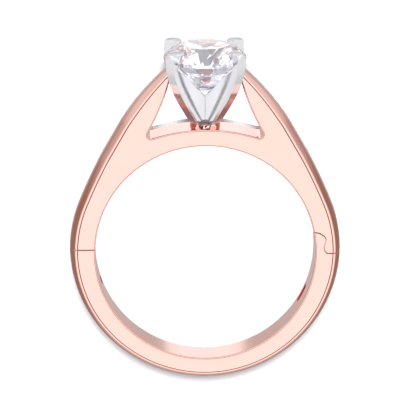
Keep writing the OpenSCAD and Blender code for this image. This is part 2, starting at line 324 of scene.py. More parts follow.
def plate(name: str, outline: Sequence[Vector], low: float, high: float) -> bpy.types.Object:
    """Makes a flat plate from an outline: a ring of edges is filled and extruded.

    Args:
        name: the object's name.
        outline: the outline's points, anticlockwise seen from +z.
        low: z of the under face.
        high: z of the upper face.

    Returns:
        The closed plate.
    """
    deselect_all()
    bpy.ops.mesh.primitive_circle_add(vertices=len(outline), radius=1, fill_type="NOTHING")
    obj = bpy.context.active_object
    obj.name = name
    for vertex, point in zip(obj.data.vertices, outline):
        vertex.co = (point.x, point.y, high)
    bpy.ops.object.mode_set(mode="EDIT")
    bpy.ops.mesh.select_all(action="SELECT")
    bpy.ops.mesh.edge_face_add()
    bpy.ops.mesh.extrude_region_move(TRANSFORM_OT_translate={"value": (0, 0, low - high)})
    bpy.ops.mesh.select_all(action="SELECT")
    bpy.ops.mesh.normals_make_consistent(inside=False)
    bpy.ops.object.mode_set(mode="OBJECT")
    return obj


def smooth(obj: bpy.types.Object, angle: float) -> None:
    """Shades a piece smooth, with its large flat faces kept flat by weighted normals.

    Args:
        obj: the piece.
        angle: edges above this angle stay sharp, in degrees.
    """
    activate(obj)
    bpy.ops.object.shade_smooth_by_angle(angle=math.radians(angle))
    weighted = obj.modifiers.new("flat_faces", "WEIGHTED_NORMAL")
    weighted.mode = "FACE_AREA"
    weighted.weight = 50
    weighted.keep_sharp = True
    apply_modifiers(obj)


@dataclass(frozen=True)
class Rest:
    """How the ring lies, read from the record's finger hole."""

    matrix: Matrix

    @classmethod
    def from_record(cls, record: dict) -> "Rest":
        """Builds the placing matrix from the finger hole mount.

        Args:
            record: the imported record.

        Returns:
            The rest placing.
        """
        hole = record["mounts"][0]
        tilt = math.atan2(-hole["axis"][1], hole["axis"][2])
        turn = Matrix.Rotation(tilt, 4, "X")
        return cls(Matrix.Translation(Vector(hole["pos_m"])) @ turn @ Matrix.Scale(MM, 4))

    def lay(self, obj: bpy.types.Object) -> None:
        """Moves a piece's mesh from ring millimetres into the row frame."""
        obj.data.transform(self.matrix)
        obj.data.update()


@dataclass(frozen=True)
class Tie:
    """What a piece stands for: the body it rides, the CAD node it replaces and its material slot."""

    body: Body
    node: str
    slot: Slot


def dress(obj: bpy.types.Object, finish: bpy.types.Material, smooth_a: float, rest: Rest, tie: Tie) -> None:
    """Gives a piece its finish, lays it in place, parents it to its body and hides the CAD node it stands
    for.

    Args:
        obj: the piece, in ring millimetres.
        finish: its material.
        smooth_a: edges above this angle stay sharp, in degrees.
        rest: how the ring lies.
        tie: what the piece stands for.
    """
    obj.data.materials.clear()
    obj.data.materials.append(finish)
    smooth(obj, smooth_a)
    rest.lay(obj)
    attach(obj, tie.body.value)
    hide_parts(tie.node)


class Nodes:
    """A node tree with one way to add a node."""

    def __init__(self, tree: bpy.types.NodeTree) -> None:
        """Keeps the tree and clears it."""
        self.tree = tree
        tree.nodes.clear()

    def add(self, kind: str, links: dict | None = None, **settings: object) -> bpy.types.Node:
        """Adds a node with its settings and links.

        Args:
            kind: the node's type name.
            links: input name or index to a source socket, or to a plain value.
            settings: attributes of the node.

        Returns:
            The new node.
        """
        node = self.tree.nodes.new(kind)
        for name, value in settings.items():
            setattr(node, name, value)
        for name, source in (links or {}).items():
            if isinstance(source, bpy.types.NodeSocket):
                self.tree.links.new(source, node.inputs[name])
            else:
                node.inputs[name].default_value = source
        return node


def blank_material(name: str) -> tuple[bpy.types.Material, Nodes]:
    """Starts a material.

    Args:
        name: the material's name.

    Returns:
        The material and its empty node tree.
    """
    material = bpy.data.materials.new(name)
    material.use_nodes = True
    return material, Nodes(material.node_tree)


@dataclass(frozen=True)
class PolishedGold:
    """Cast and mirror polished gold alloy.

    Buffing leaves it with a near perfect reflection, a trace of haze and hairlines about a micron deep.
    Painted shade can darken its colour in narrow inner corners, where ambient occlusion finds other surfaces
    close by.
    """

    name: str
    base_hex: str
    worn_hex: str
    roughness: float = 0.06
    metallic: float = 1.0
    haze_mm: float = 2.4
    haze_share: Point = (0.8, 1.3)
    grain_mm: float = 0.12
    grain_depth_mm: float = 0.001
    # The next four set the painted shade in inner corners: its reach, its colour, the occlusion range it
    # ramps over and its rays.
    shade_reach_mm: float = 0.0
    painted_shade_hex: str = "1E1E20"
    shade_open: Point = (0.48, 0.74)
    shade_rays: int = 8

    def make(self) -> bpy.types.Material:
        """Builds the material.

        Returns:
            The finished material.
        """
        material, nodes = blank_material(self.name)
        place = nodes.add("ShaderNodeTexCoord").outputs["Object"]
        cloud = nodes.add(
            "ShaderNodeTexNoise",
            {"Vector": place, "Scale": 1 / (self.haze_mm * MM), "Detail": 3.0, "Roughness": 0.5},
        )
        haze = nodes.add(
            "ShaderNodeMapRange",
            {"Value": cloud.outputs["Fac"], "From Min": NOISE_RANGE[0], "From Max": NOISE_RANGE[1],
             "To Min": self.roughness * self.haze_share[0], "To Max": self.roughness * self.haze_share[1]},
        )
        tone = nodes.add(
            "ShaderNodeMix",
            {"Factor": cloud.outputs["Fac"], "A": srgb(self.base_hex), "B": srgb(self.worn_hex)},
            data_type="RGBA",
        )
        grain = nodes.add(
            "ShaderNodeTexNoise", {"Vector": place, "Scale": 1 / (self.grain_mm * MM), "Detail": 1.0}
        )
        bump = nodes.add(
            "ShaderNodeBump",
            {"Height": grain.outputs["Fac"], "Strength": 1.0, "Distance": self.grain_depth_mm * MM},
        )
        # Painted shade: the colour is darkened in narrow inner corners, where shade falls.
        if self.shade_reach_mm:
            tone = self.corners(nodes, tone)
        shader = nodes.add(
            "ShaderNodeBsdfPrincipled",
            {"Metallic": self.metallic, "Base Color": tone.outputs["Result"],
             "Roughness": haze.outputs["Result"], "Normal": bump.outputs["Normal"]},
        )
        nodes.add("ShaderNodeOutputMaterial", {"Surface": shader.outputs["BSDF"]})
        return material

    def corners(self, nodes: Nodes, tone: bpy.types.Node) -> bpy.types.Node:
        """Paints shade into the tone in narrow inner corners, darker where ambient occlusion finds other
        surfaces close.

        Args:
            nodes: the material's nodes.
            tone: the node with the polished colour.

        Returns:
            The node with the colour to use.
        """
        shut, clear = self.shade_open
        reach = nodes.add(
            "ShaderNodeAmbientOcclusion", {"Distance": self.shade_reach_mm * MM}, samples=self.shade_rays
        )
        share = nodes.add(
            "ShaderNodeMapRange", {"Value": reach.outputs["AO"], "From Min": shut, "From Max": clear}
        )
        return nodes.add(
            "ShaderNodeMix",
            {"Factor": share.outputs["Result"], "A": srgb(self.painted_shade_hex), "B": tone.outputs["Result"]},
            data_type="RGBA",
        )


@dataclass(frozen=True)
class Diamond:
    """Colourless diamond, cut and polished: clear, with a very high index and crisp flat facets.

    Growth zones just under a millimetre wide leave faint steps in its cool tint. A trace of glow stands in
    for the light that its many facets gather.
    """

    name: str = "diamond"
    tint_hex: str = "F1F5FF"
    zone_hex: str = "F8FAFF"
    zone_mm: float = 0.8
    glow_hex: str = "E4E8FF"
    glow: float = 0.02
    ior: float = 2.417

    def make(self) -> bpy.types.Material:
        """Builds the material.

        Returns:
            The finished material.
        """
        material, nodes = blank_material(self.name)
        place = nodes.add("ShaderNodeTexCoord").outputs["Object"]
        zones = nodes.add(
            "ShaderNodeTexNoise", {"Vector": place, "Scale": 1 / (self.zone_mm * MM), "Detail": 2.0}
        )
        tint = nodes.add(
            "ShaderNodeMix",
            {"Factor": zones.outputs["Fac"], "A": srgb(self.tint_hex), "B": srgb(self.zone_hex)},
            data_type="RGBA",
        )
        shader = nodes.add(
            "ShaderNodeBsdfPrincipled",
            {"Base Color": tint.outputs["Result"], "Roughness": 0.0, "IOR": self.ior,
             "Transmission Weight": 1.0, "Emission Color": srgb(self.glow_hex),
             "Emission Strength": self.glow},
        )
        nodes.add("ShaderNodeOutputMaterial", {"Surface": shader.outputs["BSDF"]})
        return material


@dataclass(frozen=True)
class WhitePaper:
    """Matt studio paper: a soft white with faint fibres half a millimetre long."""

    name: str = "white_paper"
    base_hex: str = "DEE0E4"
    fibre_hex: str = "E1E3E6"
    fibre_mm: float = 0.5
    roughness: float = 0.9

    def make(self) -> bpy.types.Material:
        """Builds the material.

        Returns:
            The finished material.
        """
        material, nodes = blank_material(self.name)
        place = nodes.add("ShaderNodeTexCoord").outputs["Object"]
        fibres = nodes.add(
            "ShaderNodeTexNoise", {"Vector": place, "Scale": 1 / (self.fibre_mm * MM), "Detail": 2.0}
        )
        tone = nodes.add(
            "ShaderNodeMix",
            {"Factor": fibres.outputs["Fac"], "A": srgb(self.base_hex), "B": srgb(self.fibre_hex)},
            data_type="RGBA",
        )
        shader = nodes.add(
            "ShaderNodeBsdfPrincipled", {"Base Color": tone.outputs["Result"], "Roughness": self.roughness}
        )
        nodes.add("ShaderNodeOutputMaterial", {"Surface": shader.outputs["BSDF"]})
        return material


@dataclass(frozen=True)
class ShankSizes:
    """Named sizes of the shank, in millimetres and degrees, as in the part's source.

    The faces are narrowest at tip_w, a quarter of the stone's radius under its girdle. The outer face lies
    lower than in the source by inset, a hair's breadth, so that it stays inside the CAD's facets.
    """

    finger_r: float = 8.45
    width: float = 2.9
    side_t: float = 1.47
    base_t: float = 1.27
    dome: float = 0.5
    inset: float = 0.005
    start_a: float = 22.0
    bend_a: float = 31.0
    long_r: float = 42.0
    bend_r: float = 19.5
    tip_w: float = 2.2
    tip_under: float = 0.25
    edge_top: Point = (2.75, 13.3575)
    edge_foot_x: float = 4.8
    edge_r: float = 17.8
    fillet_r: float = 0.3
    bridge_y: float = 9.75
    bridge_r: float = 12.5
    seat_r: float = 1.15
    seat_h: float = 0.33
    girdle_y: float = 15.08
    stone_r: float = 3.25
    play: float = 0.05
    hinge: Point = (-9.82, -0.42)
    barrel_r: float = 0.69
    pin_r: float = 0.2
    pin_play: float = 0.02
    eye_r: float = 0.4
    eye_t: float = 0.9
    neck_w: float = 0.4
    neck_a: float = 70.0
    open_a: float = 50.0

    @property
    def half(self) -> float:
        """Half the shank's width."""
        return self.width / 2

    @property
    def crest_r(self) -> float:
        """Radius of the shank's outermost line at the sides."""
        return self.finger_r + self.side_t + self.dome

    @property
    def dome_r(self) -> float:
        """Radius of the rounded outer face across the width."""
        return (self.half**2 + self.dome**2) / (2 * self.dome)

    def drop(self, z: float) -> float:
        """How far the outer face lies below its crest at depth z."""
        return self.dome_r - math.sqrt(self.dome_r**2 - z**2) + self.inset

    def half_at(self, y: float) -> float:
        """Half the width at a height, where the faces curve back towards the tips.

        Args:
            y: the height in mm.

        Returns:
            Half the width in mm.
        """
        rise = self.girdle_y - self.tip_under * self.stone_r - self.bridge_y
        fall = (self.width - self.tip_w) / 2
        radius = (rise**2 + fall**2) / (2 * fall)
        up = max(0.0, y - self.bridge_y)
        return self.half - radius + math.sqrt(radius**2 - up**2)


@dataclass
class Shoulder:
    """The right shoulder's lines: the outer arcs for any depth z, and the inner edge with its fillet."""

    sizes: ShankSizes

    def __post_init__(self) -> None:
        """Works out the arcs' centres."""
        s = self.sizes
        self.long_c = (s.crest_r - s.long_r) * unit(s.start_a)
        self.bend_c = self.long_c + (s.long_r - s.bend_r) * unit(s.bend_a)
        self.bridge_c = Vector((0, s.bridge_y - s.bridge_r))
        top = Vector(s.edge_top)
        foot = Vector((s.edge_foot_x, self.bridge_top(s.edge_foot_x)))
        way = top - foot
        across = math.sqrt(s.edge_r**2 - way.length_squared / 4)
        self.edge_c = (top + foot) / 2 + across * Vector((way.y, -way.x)) / way.length
        self.fillet_c = circle_cross(
            self.edge_c, s.edge_r + s.fillet_r, self.bridge_c, s.bridge_r + s.fillet_r, -1
        )

    def bridge_top(self, x: float) -> float:
        """Height of the bridge's top at x."""
        return self.bridge_c.y + math.sqrt(self.sizes.bridge_r**2 - x**2)

    def tip_angle(self, z: float) -> float:
        """Where the upper arc meets the inner edge.

        Args:
            z: depth from the middle plane.

        Returns:
            The angle on the upper arc in degrees.
        """
        s = self.sizes
        point = circle_cross(self.bend_c, s.bend_r - s.drop(z), self.edge_c, s.edge_r, 1)
        return angle_of(point - self.bend_c)

    def outer(self, share: float, z: float) -> Vector:
        """A point of the outer face.

        Args:
            share: 0 level with the hole's centre, 1 at the long arc's start, 2 at the bend and 3 at the tip.
            z: depth from the middle plane.

        Returns:
            The point in the plane at z.
        """
        s = self.sizes
        low = s.drop(z)
        if share <= 1:
            return (s.crest_r - low) * unit(s.start_a * share)
        if share <= 2:
            return self.long_c + (s.long_r - low) * unit(s.start_a + (s.bend_a - s.start_a) * (share - 1))
        end = self.tip_angle(z)
        return self.bend_c + (s.bend_r - low) * unit(s.bend_a + (end - s.bend_a) * (share - 2))

    def share_at(self, y: float, z: float) -> float:
        """Finds a height on the outer line by halving.

        Args:
            y: the height in mm.
            z: depth from the middle plane.

        Returns:
            The share whose point has that height.
        """
        low, high = 0.0, 3.0
        halvings = 40
        for _ in range(halvings):
            middle = (low + high) / 2
            if self.outer(middle, z).y < y:
                low = middle
            else:
                high = middle
        return (low + high) / 2

    def opening(self, rows: Sequence[float], fillet_steps: int, bridge_steps: int) -> list[Vector]:
        """The line round the opening under the head.

        Args:
            rows: heights of the inner edge's points, rising.
            fillet_steps: number of chords of each fillet.
            bridge_steps: number of chords of the bridge's top.

        Returns:
            The points from the right tip down, over the bridge and up to the left tip.
        """
        s = self.sizes
        edge = [
            Vector((self.edge_c.x - math.sqrt(s.edge_r**2 - (y - self.edge_c.y) ** 2), y))
            for y in reversed(rows)
        ]
        on_edge = self.edge_c + s.edge_r * (self.fillet_c - self.edge_c).normalized()
        on_bridge = self.bridge_c + s.bridge_r * (self.fillet_c - self.bridge_c).normalized()
        first, last = angle_of(on_edge - self.fillet_c), angle_of(on_bridge - self.fillet_c)
        if first < last:
            first += 360
        fillet = arc(self.fillet_c, s.fillet_r, first, last, fillet_steps)[:-1]
        bridge_a = angle_of(on_bridge - self.bridge_c)
        bridge = arc(self.bridge_c, s.bridge_r, bridge_a, 180 - bridge_a, bridge_steps)
        return edge + fillet + bridge + mirrored(reversed(edge + fillet))


@dataclass(frozen=True)
class Mark:
    """A point of a shank half's outline in the front view.

    Its share is a place on a shoulder's outer line, or an angle in degrees on the lower half's.
    """

    point: Vector
    line: Line = Line.STRAIGHT
    share: float = 0.0


@dataclass
class Outline:
    """A shank half's outline, anticlockwise, with each mark found again by its place."""

    marks: list[Mark]

    def __post_init__(self) -> None:
        """Files the marks by their place."""
        self.filed = {self.key(mark.point): mark for mark in self.marks}

    @staticmethod
    def key(place: Vector) -> Point:
        """A place rounded to a ten-thousandth of a millimetre."""
        return (round(place.x, 4), round(place.y, 4))

    def at(self, place: Vector) -> Mark:
        """The mark filed at a place, or a plain one."""
        return self.filed.get(self.key(place), Mark(place))


@dataclass
class Shank:
    """Both halves of the rose gold shank, with the hinge eye, the catch seam and the inner slots.

    The roundings are widths in mm. The zones say where each one holds: seam_zone and bridge_zone are heights,
    and window_low is the lowest height of the windows' edges. The outer line has side_steps points up to the
    long arc, long_points of long_steps along it, and then one at each row. Points of the seam outside
    seam_ends are left out, because they would lie inside the rounding of its ends.
    """

    rest: Rest
    finish: bpy.types.Material
    sizes: ShankSizes = field(default_factory=ShankSizes)
    outer_round: float = 0.17
    bridge_round: float = 0.13
    window_round: float = 0.15
    hole_round: float = 0.13
    seam_round: float = 0.05
    round_steps: int = 4
    crease_a: float = 25.0
    smooth_a: float = 32.0
    seam_zone: Point = (-0.6, 1.75)
    seam_inside: float = 0.3
    window_low: float = 8.5
    bridge_zone: Point = (7.0, 10.0)
    bridge_half: float = 4.9
    seam_gap: float = 0.04
    seam_step: float = 0.06
    seam_ends: Point = (8.62, 9.68)
    columns: int = 14
    step_a: float = 1.6
    side_steps: int = 14
    long_steps: int = 8
    long_points: int = 5
    row_low: float = 9.9
    row_under_tip: float = 0.15
    row_count: int = 14
    tip_y: float = 14.0
    fillet_steps: int = 8
    bridge_steps: int = 30
    seat_margin: float = 0.15
    seat_root: float = 0.5
    seat_round: float = 0.07
    seat_steps: int = 3
    solder_cuts: int = 10
    solder_skin: float = 0.05
    solder_lumps: float = 3.5
    neck_len: float = 0.95
    slot_reach: Point = (1.4, 1.7)
    bore_half: float = 1.12
    slot_box: tuple[float, float] = (1.0, 0.8)
    slot_z: float = -0.6
    slot_round: float = 0.2
    inner_slots: tuple[Point, ...] = ((-27.0, 1.45), (198.3, 0.6))
    catch_line: tuple[Point, ...] = (
        (8.45, 1.575), (8.54, 1.56), (8.72, 1.52), (8.89, 1.43), (9.13, 1.27), (9.23, 1.13), (9.26, 0.94),
        (9.22, 0.74), (9.15, 0.55), (9.12, 0.38), (9.16, 0.16), (9.24, 0.02), (9.38, -0.08), (9.59, -0.10),
        (9.93, -0.10),
    )

    def __post_init__(self) -> None:
        """Prepares the shoulder's lines, the hinge and the lower half's outer circle."""
        s = self.sizes
        self.shoulder = Shoulder(s)
        self.hinge = Vector(s.hinge)
        self.hinge_seat_r = s.barrel_r + self.seam_gap
        side_r, base_r = s.finger_r + s.side_t, s.finger_r + s.base_t
        self.lower_edge_r = (side_r**2 / base_r + base_r) / 2
        self.lower_centre = Vector((0, self.lower_edge_r - base_r))

    def catch_seam(self, shift: float) -> list[Vector]:
        """The catch's S line from the finger hole outwards.

        Args:
            shift: how far the line is moved up, in mm.

        Returns:
            Its points, without those near its ends.
        """
        start_y = self.catch_line[0][1] + shift
        start = Vector((math.sqrt(self.sizes.finger_r**2 - start_y**2), start_y))
        first, last = self.seam_ends
        line = polyline(self.catch_line, self.seam_step)[1:]
        return [start] + [p + Vector((0, shift)) for p in line if first < p.x < last]

    def rows(self) -> list[float]:
        """Heights at which the shoulders' faces get an edge across, rising.

        Returns:
            The heights, evenly spaced from the bridge to just under the tip.
        """
        tip = self.shoulder.outer(3.0, self.sizes.half_at(self.tip_y))
        rise = tip.y - self.row_under_tip - self.row_low
        return [self.row_low + rise * i / (self.row_count - 1) for i in range(self.row_count)]

    def shares(self, rows: Sequence[float]) -> list[float]:
        """Places of the points on a shoulder's outer line.

        Args:
            rows: heights at which a point is needed.

        Returns:
            The shares in rising order.
        """
        side = [i / self.side_steps for i in range(1, self.side_steps + 1)]
        long = [1 + i / self.long_steps for i in range(1, self.long_points + 1)]
        tall = [self.shoulder.share_at(y, self.sizes.half_at(y)) for y in rows]
        return sorted([*side, *long, *tall, 3.0])

    def upper(self) -> bpy.types.Object:
        """Builds the upper half.

        Returns:
            The finished piece in ring millimetres.
        """
        s = self.sizes
        gap = self.seam_gap / 2
        rows = self.rows()
        shares = self.shares(rows)
        outer = [(share, self.shoulder.outer(share, s.half)) for share in shares]
        seam = self.catch_seam(gap)
        right_edge = Vector((s.crest_r - s.drop(s.half), self.catch_line[-1][1] + gap))
        marks = [Mark(p) for p in seam]
        marks.append(Mark(right_edge, Line.SEAM_END))
        marks += [Mark(p, Line.RIGHT, share) for share, p in outer]
        marks += [Mark(p) for p in self.shoulder.opening(rows, self.fillet_steps, self.bridge_steps)]
        left_x = -right_edge.x
        seat_y = self.hinge.y + math.sqrt(max(0.0, self.hinge_seat_r**2 - (left_x - self.hinge.x) ** 2))
        marks += [
            Mark(Vector((-p.x, p.y)), Line.LEFT, share)
            for share, p in reversed(outer) if p.y > seat_y + self.seat_margin
        ]
        marks.append(Mark(Vector((left_x, seat_y)), Line.HINGE_SEAT))
        seat_top = self.hinge.y + self.hinge_seat_r
        corner = Vector((-math.sqrt(s.finger_r**2 - seat_top**2), seat_top))
        marks.append(Mark(corner))
        start_a, end_a = angle_of(corner), angle_of(seam[0])
        steps = round((start_a - end_a) / self.step_a)
        marks += [Mark(p) for p in arc(Vector((0, 0)), s.finger_r, start_a, end_a, steps)[1:-1]]
        return self.domed("shank_upper_rose_gold", Outline(marks), rows)

    def lower(self) -> bpy.types.Object:
        """Builds the lower half.

        Returns:
            The finished piece in ring millimetres.
        """
        s = self.sizes
        gap = self.seam_gap / 2
        centre, radius = self.lower_centre, self.lower_edge_r
        seam = self.catch_seam(-gap)
        seam_y = self.catch_line[-1][1] - gap
        right_edge = Vector((math.sqrt(radius**2 - (seam_y - centre.y) ** 2), seam_y))
        left_edge = upper_cross(self.hinge, s.barrel_r, centre, radius)
        barrel_top = self.hinge.y + s.barrel_r
        corner = Vector((-math.sqrt(s.finger_r**2 - barrel_top**2), barrel_top))
        start_a, end_a = angle_of(corner), angle_of(seam[0]) + 360
        steps = round((end_a - start_a) / self.step_a)
        marks = [Mark(p) for p in reversed(arc(Vector((0, 0)), s.finger_r, start_a, end_a, steps))]
        start_a, end_a = angle_of(left_edge - centre), angle_of(right_edge - centre)
        if start_a < 0:
            start_a += 360
        sweep = 360 + end_a - start_a
        steps = round(sweep / self.step_a)
        for i in range(steps + 1):
            angle = start_a + sweep * i / steps
            marks.append(Mark(centre + radius * unit(angle), Line.LOWER, angle))
        marks += [Mark(p) for p in reversed(seam[1:])]
        return self.domed("shank_lower_rose_gold", Outline(marks), [])

    def domed(self, name: str, outline: Outline, rows: Sequence[float]) -> bpy.types.Object:
        """Fills, extrudes and domes an outline.

        Args:
            name: the piece's name.
            outline: the outline.
            rows: heights at which the shoulders' faces get an edge across.

        Returns:
            The piece with rounded edges.
        """
        half = self.sizes.half
        obj = plate(name, [mark.point for mark in outline.marks], -half, half)
        self.connect_rows(obj, outline, rows)
        split_edges(obj, lambda edge: self.on_dome(edge, outline), self.columns - 1)
        for vertex in obj.data.vertices:
            flat = Vector((vertex.co.x, vertex.co.y))
            vertex.co = self.settle(flat, vertex.co.z / half, outline.at(flat))
        return self.rounded(obj)

    def connect_rows(self, obj: bpy.types.Object, outline: Outline, rows: Sequence[float]) -> None:
        """Connects the two ends of each row across the shoulders' faces.

        Args:
            obj: the plate.
            outline: its outline.
            rows: heights of the rows.
        """
        half = self.sizes.half
        ends = [(y, side, z) for y in rows for side in (1, -1) for z in (half, -half)]
        activate(obj)
        bpy.ops.object.mode_set(mode="EDIT")
        for y, side, z in ends:
            mesh = bmesh.from_edit_mesh(obj.data)
            pair = [
                v for v in mesh.verts
                if abs(v.co.z - z) < SAME and v.co.x * side > 0 and self.ends_row(v.co, y, outline)
            ]
            if len(pair) == 2:
                for vertex in mesh.verts:
                    vertex.select = False
                mesh.select_flush(False)
                for vertex in pair:
                    vertex.select = True
                bmesh.update_edit_mesh(obj.data)
                bpy.ops.mesh.vert_connect()
        bpy.ops.object.mode_set(mode="OBJECT")

    def ends_row(self, co: Vector, y: float, outline: Outline) -> bool:
        """Whether a vertex ends the row at a height.

        Args:
            co: the vertex's place.
            y: the row's height.
            outline: the piece's outline.

        Returns:
            True at the row's outer and inner ends.
        """
        mark = outline.at(co)
        if mark.line is Line.STRAIGHT:
            return abs(co.y - y) < SAME / 10 and abs(co.x) < self.sizes.edge_foot_x
        height = self.shoulder.outer(mark.share, self.sizes.half_at(y)).y
        return mark.share > 1 and abs(height - y) < SAME

    def on_dome(self, edge: bmesh.types.BMEdge, outline: Outline) -> bool:
        """Whether an edge runs through the width on an outer line."""
        low, high = (vertex.co for vertex in edge.verts)
        return abs(low.z - high.z) > SAME and outline.at(low).line is not Line.STRAIGHT

    def settle(self, flat: Vector, part: float, mark: Mark) -> Vector:
        """The final place of a vertex.

        Args:
            flat: its place in the front view.
            part: its depth as a share of the half width, from -1 to 1.
            mark: the outline's mark at its place.

        Returns:
            The point in ring millimetres.
        """
        s = self.sizes
        if mark.line is Line.STRAIGHT:
            return Vector((flat.x, flat.y, part * s.half_at(flat.y)))
        z = part * s.half
        crest = s.crest_r - s.drop(z)
        if mark.line is Line.LOWER:
            radius = self.lower_edge_r + s.dome - s.drop(z)
            return (self.lower_centre + radius * unit(mark.share)).to_3d() + Vector((0, 0, z))
        if mark.line is Line.SEAM_END:
            return Vector((math.sqrt(crest**2 - flat.y**2), flat.y, z))
        if mark.line is Line.HINGE_SEAT:
            point = upper_cross(self.hinge, self.hinge_seat_r, Vector((0, 0)), crest)
            return Vector((point.x, point.y, z))
        # The height depends on the depth and the depth on the height, so a few rounds settle both.
        rounds = 3
        for _ in range(rounds):
            z = part * s.half_at(self.shoulder.outer(mark.share, z).y)
        point = self.shoulder.outer(mark.share, z)
        return Vector((point.x if mark.line is Line.RIGHT else -point.x, point.y, z))

    def rounded(self, obj: bpy.types.Object) -> bpy.types.Object:
        """Rounds the polished edges: more along the faces, less at the finger hole and the seams.

        Args:
            obj: the domed piece.

        Returns:
            The same piece.
        """
        mesh = bmesh.new()
        mesh.from_mesh(obj.data)
        bmesh.ops.remove_doubles(mesh, verts=mesh.verts, dist=1e-5)
        bmesh.ops.recalc_face_normals(mesh, faces=mesh.faces)
        layer = mesh.edges.layers.float.new("bevel_weight_edge")
        for edge in mesh.edges:
            if edge.calc_face_angle(0) > math.radians(self.crease_a):
                edge[layer] = self.edge_size(edge) / self.outer_round
        mesh.to_mesh(obj.data)
        mesh.free()
        round_edges(obj, self.outer_round, self.round_steps, Edges.WEIGHED, clamp=False)
        return obj

    def edge_size(self, edge: bmesh.types.BMEdge) -> float:
        """How far one edge is rounded over.

        Args:
            edge: the edge.

        Returns:
            The width of its rounding in mm.
        """
        s = self.sizes
        first, last = (vertex.co for vertex in edge.verts)
        middle = (first + last) / 2
        r = math.hypot(middle.x, middle.y)
        through = abs(first.z - last.z) > SAME
        between_faces = s.finger_r + NEAR < r < s.finger_r + s.side_t - NEAR
        hole_x = s.finger_r - self.seam_inside
        near_seam = self.seam_zone[0] < middle.y < self.seam_zone[1] and abs(middle.x) > hole_x
        if near_seam and (through or between_faces):
            return self.seam_round
        if abs(r - s.finger_r) < NEAR:
            return self.hole_round
        if middle.y > self.window_low and any(
            f.normal.x * middle.x < 0 and abs(f.normal.z) < STEEP for f in edge.link_faces
        ):
            return self.window_round
        low, high = self.bridge_zone
        on_bridge = low < middle.y < high and abs(middle.x) < self.bridge_half
        return self.bridge_round if on_bridge else self.outer_round

    def pin_bore(self, half: float) -> bpy.types.Object:
        """The cutter for the hinge pin's bore, as long as twice half."""
        low, high = (Vector((*self.sizes.hinge, z)) for z in (-half, half))
        return cylinder("pin_bore", self.sizes.pin_r + self.sizes.pin_play, low, high, THIN_SIDES)

    def hinge_eye(self) -> bpy.types.Object:
        """The eye on the upper half, with its neck.

        Returns:
            The eye with its bore.
        """
        s = self.sizes
        up = unit(s.neck_a)
        side = Vector((up.y, -up.x)) * (s.neck_w / 2)
        a = math.degrees(math.asin(s.neck_w / 2 / s.eye_r))
        body = arc(self.hinge, s.eye_r, s.neck_a + a, s.neck_a + 360 - a, EYE_STEPS)
        body += [self.hinge + up * self.neck_len + side, self.hinge + up * self.neck_len - side]
        eye = plate("eye", body, -s.eye_t / 2, s.eye_t / 2)
        work(eye, self.pin_bore(s.eye_t))
        return eye

    def eye_slot(self) -> bpy.types.Object:
        """The room in the lower half for the eye over its whole travel.

        Returns:
            The cutter.
        """
        s = self.sizes
        half_w = s.neck_w / 2 + s.play
        r = s.eye_r + s.play
        first, middle, last = (unit(s.neck_a + share * s.open_a) for share in (0, 0.5, 1))
        a = math.degrees(math.asin(half_w / r))
        near, far = self.slot_reach
        body = arc(self.hinge, r, s.neck_a + s.open_a + a, s.neck_a + 360 - a, EYE_STEPS)
        body += [self.hinge + first * near + Vector((first.y, -first.x)) * half_w]
        body += [self.hinge + middle * far]
        body += [self.hinge + last * near + Vector((-last.y, last.x)) * half_w]
        depth = s.eye_t / 2 + s.play
        return plate("eye_slot", body, -depth, depth)

    def inner_slot(self, angle: float, length: float) -> bpy.types.Object:
        """A round-ended cutter for one of the short slots in the finger face.

        Args:
            angle: the slot's place round the finger hole, in degrees.
            length: its length along the finger hole's round, in mm.

        Returns:
            The cutter.
        """
        deselect_all()
        bpy.ops.mesh.primitive_cube_add(size=1)
        obj = bpy.context.active_object
        thick, wide = self.slot_box
        obj.data.transform(Matrix.Diagonal((thick, length, wide, 1.0)))
        round_edges(obj, self.slot_round, self.round_steps)
        place = Matrix.Translation((self.sizes.finger_r, 0, self.slot_z))
        obj.data.transform(Matrix.Rotation(math.radians(angle), 4, "Z") @ place)
        return obj

    def seat(self) -> bpy.types.Object:
        """The low round seat on the bridge under the head, with the solder's uneven skin.

        Returns:
            The seat.
        """
        s = self.sizes
        top = s.bridge_y + s.seat_h
        root = Vector((0, s.bridge_y - self.seat_root, 0))
        obj = cylinder("seat", s.seat_r, root, Vector((0, top, 0)), WIDE_SIDES)
        split_edges(
            obj, lambda edge: abs(edge.verts[0].co.y - edge.verts[1].co.y) > self.seat_root, self.solder_cuts
        )
        for vertex in obj.data.vertices:
            if vertex.co.y < top - NEAR:
                swell = 1 + self.solder_skin * noise.noise(vertex.co * self.solder_lumps)
                vertex.co = (vertex.co.x * swell, vertex.co.y, vertex.co.z * swell)
        round_edges(obj, self.seat_round, self.seat_steps)
        return obj

    def build(self) -> list[bpy.types.Object]:
        """Builds and dresses both halves.

        Returns:
            The pieces.
        """
        upper = self.upper()
        work(upper, self.seat(), Action.JOIN)
        work(upper, self.hinge_eye(), Action.JOIN)
        dress(upper, self.finish, self.smooth_a, self.rest, Tie(Body.UPPER, "shank_upper", Slot.ROSE))
        lower = self.lower()
        work(lower, self.eye_slot())
        work(lower, self.pin_bore(self.bore_half))
        for angle, length in self.inner_slots:
            work(lower, self.inner_slot(angle, length))
        dress(lower, self.finish, self.smooth_a, self.rest, Tie(Body.LOWER, "shank_lower", Slot.ROSE))
        return [upper, lower]


